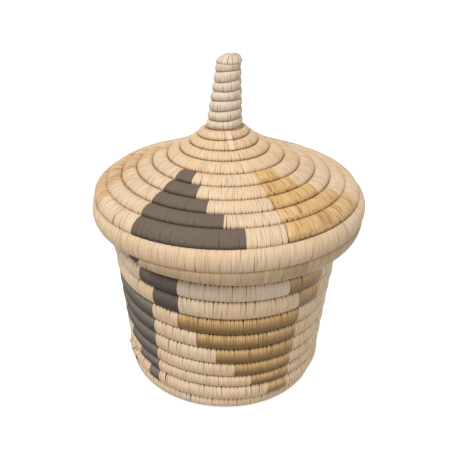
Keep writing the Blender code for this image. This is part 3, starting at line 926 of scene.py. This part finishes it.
# A flat strip is tied down over the first two rounds of the lid, just right of the front
lidStripValues = {"rounds": 2, "turn": 0.472, "width": 0.0030, "reach": 1.65, "tone": -0.2, "slant": 0.0}
seedValues = {"basket": 100, "rim": 120, "lid": 200, "brim": 220, "tail": 221, "knob": 300, "cap": 310,
              "knot": 320}


def wallLook(number):
    v = wallValues
    look = dict(plainLook, grey=v["grey"].get(number, v["otherGrey"]), lift=v["lift"].get(number, 0.0))
    if number <= v["charcoalGreyRounds"]:
        look[charcoalKind] = dict(plainLook[charcoalKind], grey=v["charcoalGrey"])
    if number == v["wornRound"]:
        look["worn"] = v["worn"]
        look["strips"] = v["torn"]
    return look


def coneLook(number):
    v = lidStripValues
    if number > v["rounds"]:
        return lidLook
    return dict(lidLook, strips=((number + v["turn"], v["width"], v["reach"], v["tone"], v["slant"]),))


firstWall = basketValues["baseRounds"] + 1
wallRounds = len(basketValues["roundShares"])
wrapRound("base_coil", "basket", basketCoil, 1 + basketValues["startTaper"], firstWall, 0, (),
          seedValues["basket"], plainLook)
for number in range(1, wallRounds + 1):
    start = firstWall + number - 1
    wrapRound(f"wall_round_{number:02d}", "basket", basketCoil, start, start + 1, number - 1,
              motifValues["wall"], seedValues["basket"] + number, wallLook(number))
wrapRound("rim_end", "basket", basketCoil, firstWall + wallRounds, basketCoil["end"], 0, (),
          seedValues["rim"], smoothLook)
print("basket wrapped")

coneRounds = len(lidValues["roundShares"]) - 2      # the others are the brim and the turn under it
for number in range(1, coneRounds + 1):
    wrapRound(f"lid_round_{number:02d}", "lid", lidCoil, number, number + 1, number, motifValues["lid"],
              seedValues["lid"] + number, coneLook(number))
wrapRound("brim_coil", "lid", lidCoil, coneRounds + 1, coneRounds + 2, 0, (), seedValues["brim"], brimLook)
wrapRound("under_coil", "lid", lidCoil, coneRounds + 2, lidValues["tailEnd"], 0, (), seedValues["tail"],
          tailLook)
print("lid wrapped")

# Knob: the same wrap on a narrow upright coil, closed on top by a ring of short wraps, or petals. The knot
# of the base has such a ring above and below.
knobLook = {
    "width": knobValues["strand"], "tone": 0.25, "grey": 0.50, "gapShare": 0.0, "shapes": ("single",),
    "slantShare": 0.5, "slantSpread": math.radians(1.2),
    "sunkBefore": 2.1, "sunkTone": 1.9,     # sunk between the knob and the lid's first round: a darker tone as painted shade
    "narrowest": 1.6,                       # times the bulge
}
petalValues = {
    "hole": 0.04, "width": 0.53, "depth": 0.002, "tone": 0.45, "grey": 0.3, "sharpFrom": math.radians(50),
    "knotPetals": 14, "knotInset": 0.0003, "knotSides": 24,
}


def ringWays(count):
    angles = [fullTurn * index / count for index in range(count)]
    return [Vector((math.sin(angle), math.cos(angle), 0.0)) for angle in angles]


def petalStations(centre, foot, radius, count, up, riseAt):
    stations = []
    for way in ringWays(count):
        near = centre + way * radius * petalValues["hole"]
        far = foot + way * radius
        inner = (near + far) / 2 - Vector((0.0, 0.0, petalValues["depth"] * up))
        stations.append(stationFrom(near, far, inner, riseAt(way)))
    return stations


def petalWraps(stations, radius, draw):
    v = petalValues
    width = fullTurn * radius * v["width"] / len(stations)
    return [{"turn": 0.0, "width": width, "kind": naturalKind, "grey": v["grey"],
             "tone": draw.gauss(v["tone"], layValues["bundleTone"]), "slant": 0.0, "shape": "petal",
             "station": station} for station in stations]


def cappedBody(name, low, high, radius, sides):
    vertices = [centre + way * radius for centre in (low, high) for way in ringWays(sides)]
    mesh = newMesh(name, vertices, prismFaces(sides))
    mesh.uv_layers.new(name="strands")
    mesh.set_sharp_from_angle(angle=petalValues["sharpFrom"])
    return mesh


def makeKnob():
    v = knobValues
    draw = random.Random(seedValues["knob"])
    wraps = layStretch(knobStation, v["firstTurn"], v["lastTurn"], naturalKind, knobLook, draw)
    for wrap in wraps:
        wrap["station"] = knobStation(wrap["turn"])
        wrap["slant"] += draw.gauss(0.0, knobLook["slantSpread"])
        # wraps at the knob's foot take painted shade through a darker tone
        if wrap["turn"] < knobLook["sunkBefore"]:
            wrap["tone"] = knobLook["sunkTone"]
            wrap["grey"] = 0.0
    narrowest = basketValues["bulge"] * knobLook["narrowest"]
    wraps = [wrap for wrap in wraps if wrap["station"]["across"].length > narrowest]
    core = coreTube("knob_coil", knobStation, basketValues["startTaper"], v["lastTurn"],
                    basketValues["stepsPerTurn"] / 2)
    return wrapPiece("knob_coil", "lid", wraps, core, seedValues["knob"])


def makeKnobCore():
    v = knobValues
    draw = random.Random(seedValues["cap"])
    low = knobFoot - lidValues["depth"]
    bottom = Vector((knobAxis(low), 0.0, low))
    top = Vector((knobAxis(knobTop), 0.0, knobTop))
    radius = v["capRadius"]
    crown = top + Vector((v["capShift"], 0.0, -v["capRise"] * v["crownShare"]))
    foot = Vector((knobAxis(knobTop - v["capDrop"]), 0.0, knobTop - v["capDrop"]))
    stations = petalStations(crown, foot, radius, v["capStrands"], 1,
                             lambda way: v["capRise"] + v["capRiseTilt"] * way.x)
    core = cappedBody("knob_core", bottom, top - Vector((0.0, 0.0, v["capRise"])), v["coreRadius"],
                      v["coreSides"])
    return wrapPiece("knob_core", "lid", petalWraps(stations, radius, draw), core, seedValues["cap"])


def makeBaseKnot():
    v = petalValues
    draw = random.Random(seedValues["knot"])
    radius = basketValues["knotRadius"] - v["knotInset"]
    low = Vector((0.0, 0.0, basketValues["bulge"]))
    high = Vector((0.0, 0.0, basketValues["depth"]))
    stations = petalStations(low, low, radius, v["knotPetals"], -1, lambda way: 0.0)
    stations += petalStations(high, high, radius, v["knotPetals"], 1, lambda way: 0.0)
    core = cappedBody("base_knot", low, high, radius, v["knotSides"])
    return wrapPiece("base_knot", "basket", petalWraps(stations, radius, draw), core, seedValues["knot"])


makeKnob()
makeKnobCore()
makeBaseKnot()
print("knob and base knot wrapped")


# Floor, light and camera
stageValues = {
    "floorReach": 3.0, "floorColour": "CFCFCF", "floorGlow": 0.74,
    "sky": "FFFFFF", "skyLight": 0.56, "skySeen": 1.0,
    "aim": (0.0, 0.0, 0.09),
    "keyPlace": (-0.45, -0.70, 1.30), "keySize": 0.6, "keyPower": 13.0,
    "fillPlace": (0.9, -0.9, 0.7), "fillSize": 0.8, "fillPower": 2.0,
    "cameraPlace": (0.00238, -0.3269, 0.2537), "cameraWay": (0.0, 0.8905, -0.455),
    "cameraRoll": math.radians(1.023), "lens": 49.39, "sensor": 36.0, "clipStart": 0.01,
}


def seenOutright(tree):
    # 1 where a camera, a mirror or glass shows the surface, 0 where it only lights the object
    path = tree.nodes.new("ShaderNodeLightPath")
    seen = path.outputs["Is Camera Ray"]
    for ray in ("Is Glossy Ray", "Is Transmission Ray"):
        seen = addNode(tree, "ShaderNodeMath", {"operation": 'MAXIMUM'}, {0: seen, 1: path.outputs[ray]})
    return seen


def makeFloor():
    v = stageValues
    mesh = bpy.data.meshes.new("floor")
    reach = v["floorReach"]
    mesh.from_pydata([(-reach, -reach, 0), (reach, -reach, 0), (reach, reach, 0), (-reach, reach, 0)], [],
                     [(0, 1, 2, 3)])
    floor = placeObject("floor", mesh)
    material = bpy.data.materials.new("paperFloor")
    tree = emptyTree(material)
    glow = addNode(tree, "ShaderNodeMath", {"operation": 'MULTIPLY'}, {
        0: seenOutright(tree), 1: v["floorGlow"]})
    lit = addNode(tree, "ShaderNodeBsdfDiffuse", inputs={"Color": linear(v["floorColour"])})
    bright = addNode(tree, "ShaderNodeEmission", inputs={"Color": linear(v["sky"]), "Strength": glow})
    both = addNode(tree, "ShaderNodeAddShader", inputs={0: lit, 1: bright})
    addNode(tree, "ShaderNodeOutputMaterial", inputs={"Surface": both})
    mesh.materials.append(material)


def makeWorld():
    v = stageValues
    world = bpy.data.worlds.new("studio")
    bpy.context.scene.world = world
    tree = emptyTree(world)
    strength = addNode(tree, "ShaderNodeMapRange", inputs={
        "Value": seenOutright(tree), 3: v["skyLight"], 4: v["skySeen"]})
    sky = addNode(tree, "ShaderNodeBackground", inputs={"Color": linear(v["sky"]), "Strength": strength})
    addNode(tree, "ShaderNodeOutputWorld", inputs={"Surface": sky})


def addLamp(name):
    v = stageValues
    light = bpy.data.lights.new(name, 'AREA')
    light.shape = 'DISK'
    light.size = v[name + "Size"]
    light.energy = v[name + "Power"]
    lamp = placeObject(name, light)
    lamp.location = v[name + "Place"]
    looking = Vector(v["aim"]) - Vector(v[name + "Place"])
    lamp.rotation_euler = looking.to_track_quat('-Z', 'Y').to_euler()


def makeCamera():
    v = stageValues
    camera = bpy.data.cameras.new("camera")
    camera.lens = v["lens"]
    camera.sensor_width = v["sensor"]
    camera.clip_start = v["clipStart"]
    cameraObject = placeObject("camera", camera)
    cameraObject.location = v["cameraPlace"]
    looking = Vector(v["cameraWay"]).to_track_quat('-Z', 'Y').to_matrix().to_4x4()
    cameraObject.rotation_euler = (looking @ Matrix.Rotation(v["cameraRoll"], 4, 'Z')).to_euler()
    bpy.context.scene.camera = cameraObject


makeFloor()
makeWorld()
addLamp("key")
addLamp("fill")
makeCamera()
bpy.context.scene.view_settings.view_transform = 'Standard'
print("stage set")
